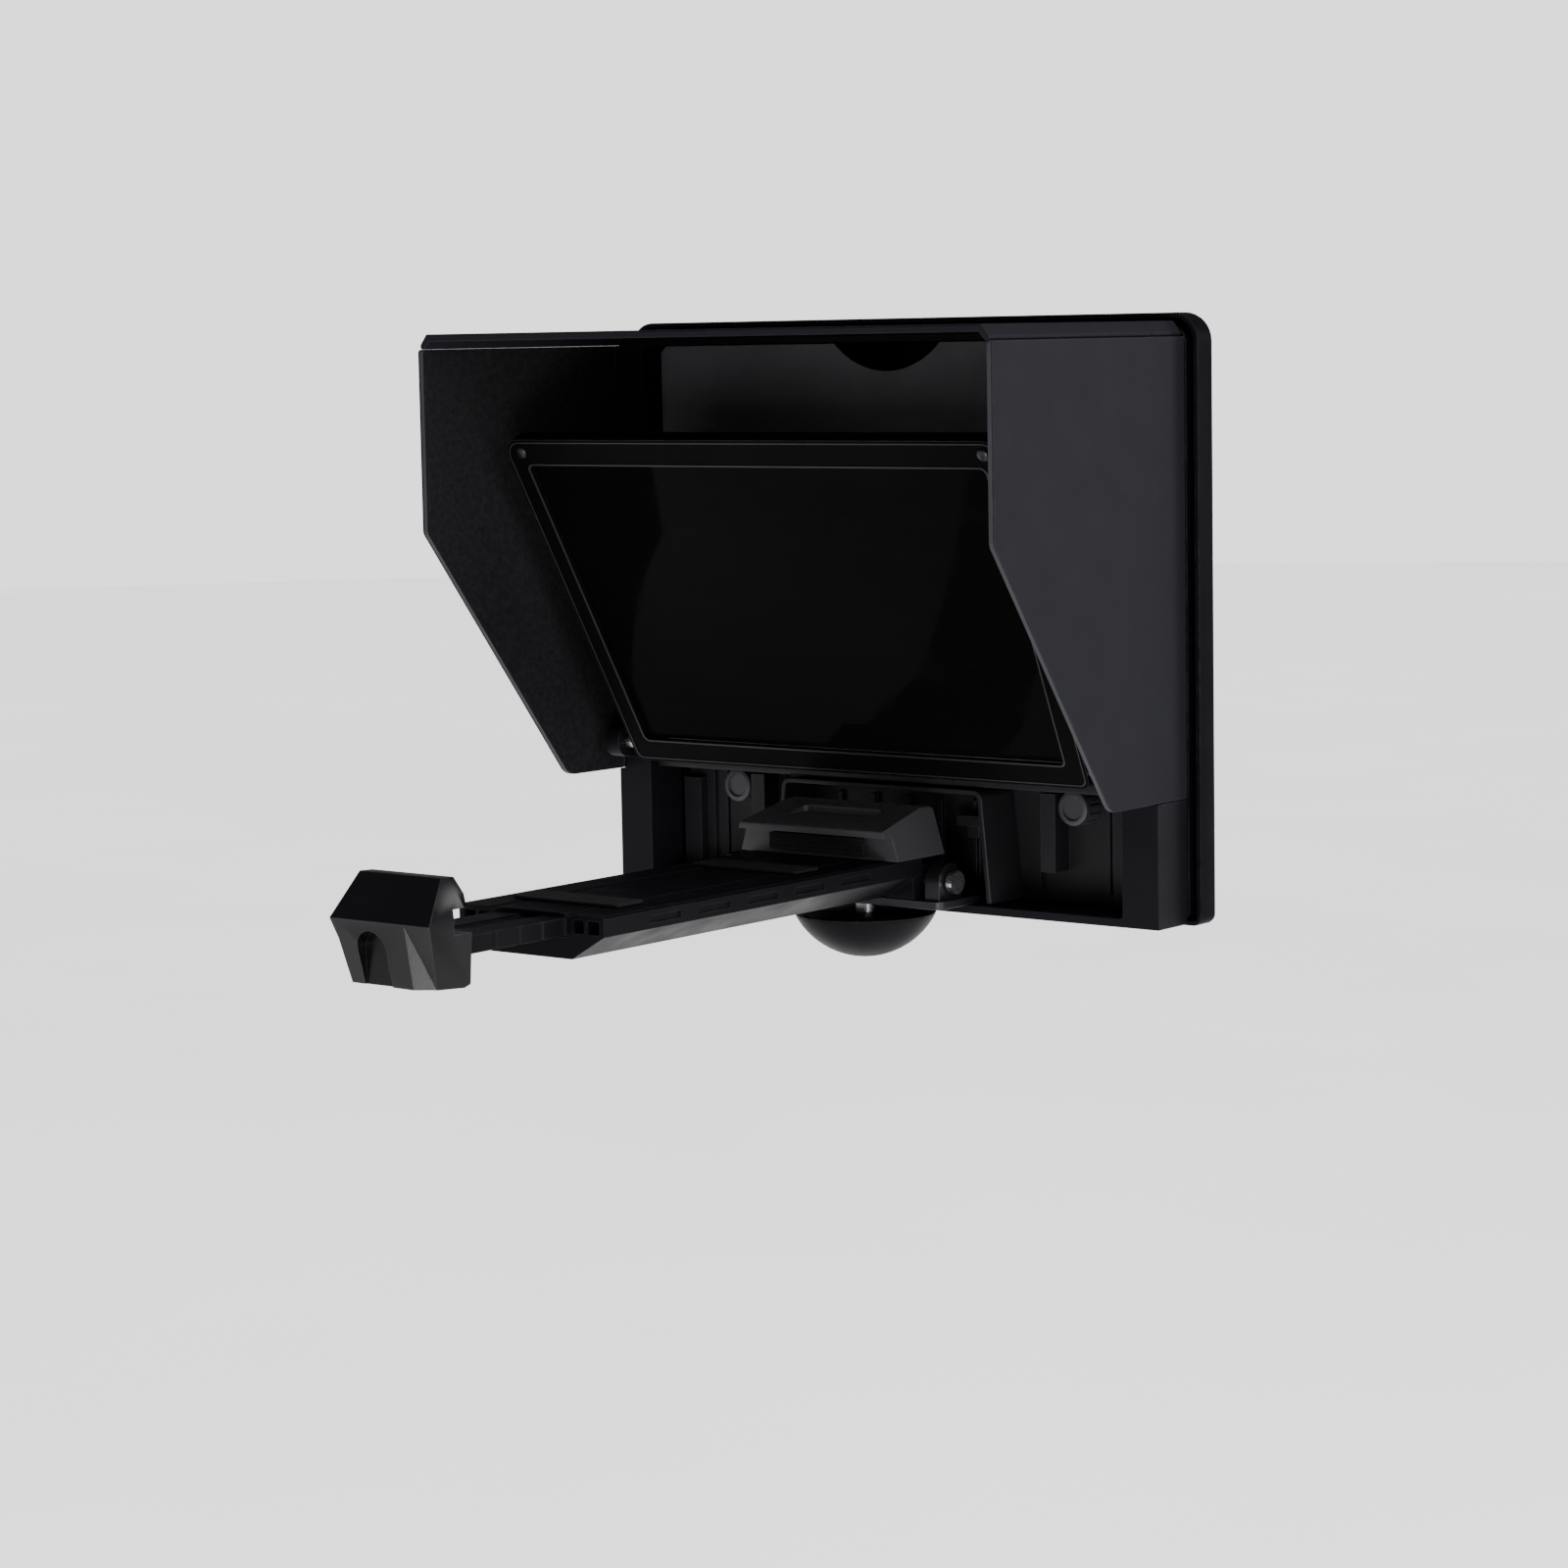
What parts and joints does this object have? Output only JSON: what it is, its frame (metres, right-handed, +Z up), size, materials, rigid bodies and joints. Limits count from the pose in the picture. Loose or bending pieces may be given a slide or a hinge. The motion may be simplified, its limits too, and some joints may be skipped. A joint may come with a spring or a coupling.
{
  "type": "teleprompter",
  "caption": "Folding tablet teleprompter: black housing with a tilting beam-splitter glass, fold-out hood, lens ring and a telescoping tablet tray.",
  "frame": {"origin": "middle of the lens adapter ring's rear face, on the lens axis", "axes": "+Y along the lens axis towards the camera, +Z up, +X to the right as the speaker faces the glass"},
  "size_m": [0.2168, 0.2575, 0.1956],
  "materials": {
    "shell_plastic": "smooth semi-gloss black",
    "frame_plastic": "satin black",
    "hood_board": "matte dark grey outside, dark flock inside",
    "tray_plastic": "satin black",
    "black_metal": "black anodised",
    "steel": "plain turned",
    "rubber": "matte",
    "glass": "beam-splitter coating"
  },
  "bodies": {
    "housing": {"rear_shell": "shell_plastic", "front_frame": "frame_plastic", "baffle_panel": "frame_plastic", "lower_panel": "frame_plastic", "cross_bar": "frame_plastic", "jaw_cowl": "tray_plastic", "boss_left": "tray_plastic", "boss_right": "tray_plastic", "housing_screw_1": "black_metal", "housing_screw_2": "black_metal", "housing_screw_3": "black_metal", "housing_screw_4": "black_metal", "tripod_bush": "steel", "tripod_block": "frame_plastic", "lens_collar": "shell_plastic", "button_spring": "steel", "glass_lug_left": "frame_plastic", "glass_lug_right": "frame_plastic", "hood_strip_left": "hood_board", "hood_strip_right": "hood_board", "hood_strip_top": "hood_board", "tray_bracket": "black_metal", "tray_pin": "steel"},
    "glass": {"glass_frame": "frame_plastic", "glass_pane": "glass", "glass_pin_left": "steel", "glass_pin_right": "steel", "glass_screw_left": "steel", "glass_screw_right": "steel"},
    "hood_left": {"hood_side_left": "hood_board"},
    "hood_right": {"hood_side_right": "hood_board"},
    "hood_flap": {"hood_top": "hood_board"},
    "tray": {"outer_rail": "tray_plastic", "rail_pad_front": "rubber", "rail_pad_rear": "rubber", "rear_jaw": "tray_plastic", "rear_jaw_pad": "rubber"},
    "slide": {"inner_slide": "tray_plastic", "front_jaw": "tray_plastic", "front_jaw_pad": "rubber"},
    "knob": {"lock_knob": "tray_plastic", "knob_stud": "steel"},
    "ring": {"adapter_ring": "black_metal"},
    "button": {"release_button": "black_metal"}
  },
  "joints": [
    {"name": "glass_tilt", "type": "hinge", "parent": "housing", "child": "glass", "pos_m": [0, -0.04695, -0.05286], "axis": [-1, 0, 0], "range_deg": [-17.4, 27.6]},
    {"name": "hood_left_fold", "type": "hinge", "parent": "housing", "child": "hood_left", "pos_m": [-0.1038, -0.037, 0], "axis": [0, 0, -1], "range_deg": [-6, 87]},
    {"name": "hood_right_fold", "type": "hinge", "parent": "housing", "child": "hood_right", "pos_m": [0.1038, -0.037, 0], "axis": [0, 0, 1], "range_deg": [-6, 87]},
    {"name": "hood_top_fold", "type": "hinge", "parent": "housing", "child": "hood_flap", "pos_m": [0, -0.037, 0.0776], "axis": [-1, 0, 0], "range_deg": [0, 100]},
    {"name": "tray_fold", "type": "hinge", "parent": "housing", "child": "tray", "pos_m": [0, -0.045, -0.09], "axis": [-1, 0, 0], "range_deg": [0, 60]},
    {"name": "tray_slide", "type": "slide", "parent": "tray", "child": "slide", "axis": [0, 1, 0], "range_m": [-0.01, 0.04]},
    {"name": "knob_turn", "type": "hinge", "parent": "housing", "child": "knob", "pos_m": [0, -0.043, -0.106], "axis": [0, 0, -1], "continuous": true},
    {"name": "ring_turn", "type": "hinge", "parent": "housing", "child": "ring", "pos_m": [0, 0, 0], "axis": [0, 1, 0], "range_deg": [0, 25]},
    {"name": "button_press", "type": "slide", "parent": "housing", "child": "button", "axis": [0, 0, -1], "range_m": [0, 0.0015], "stiffness_N_per_m": 300, "deforming": ["button_spring"]}
  ]
}
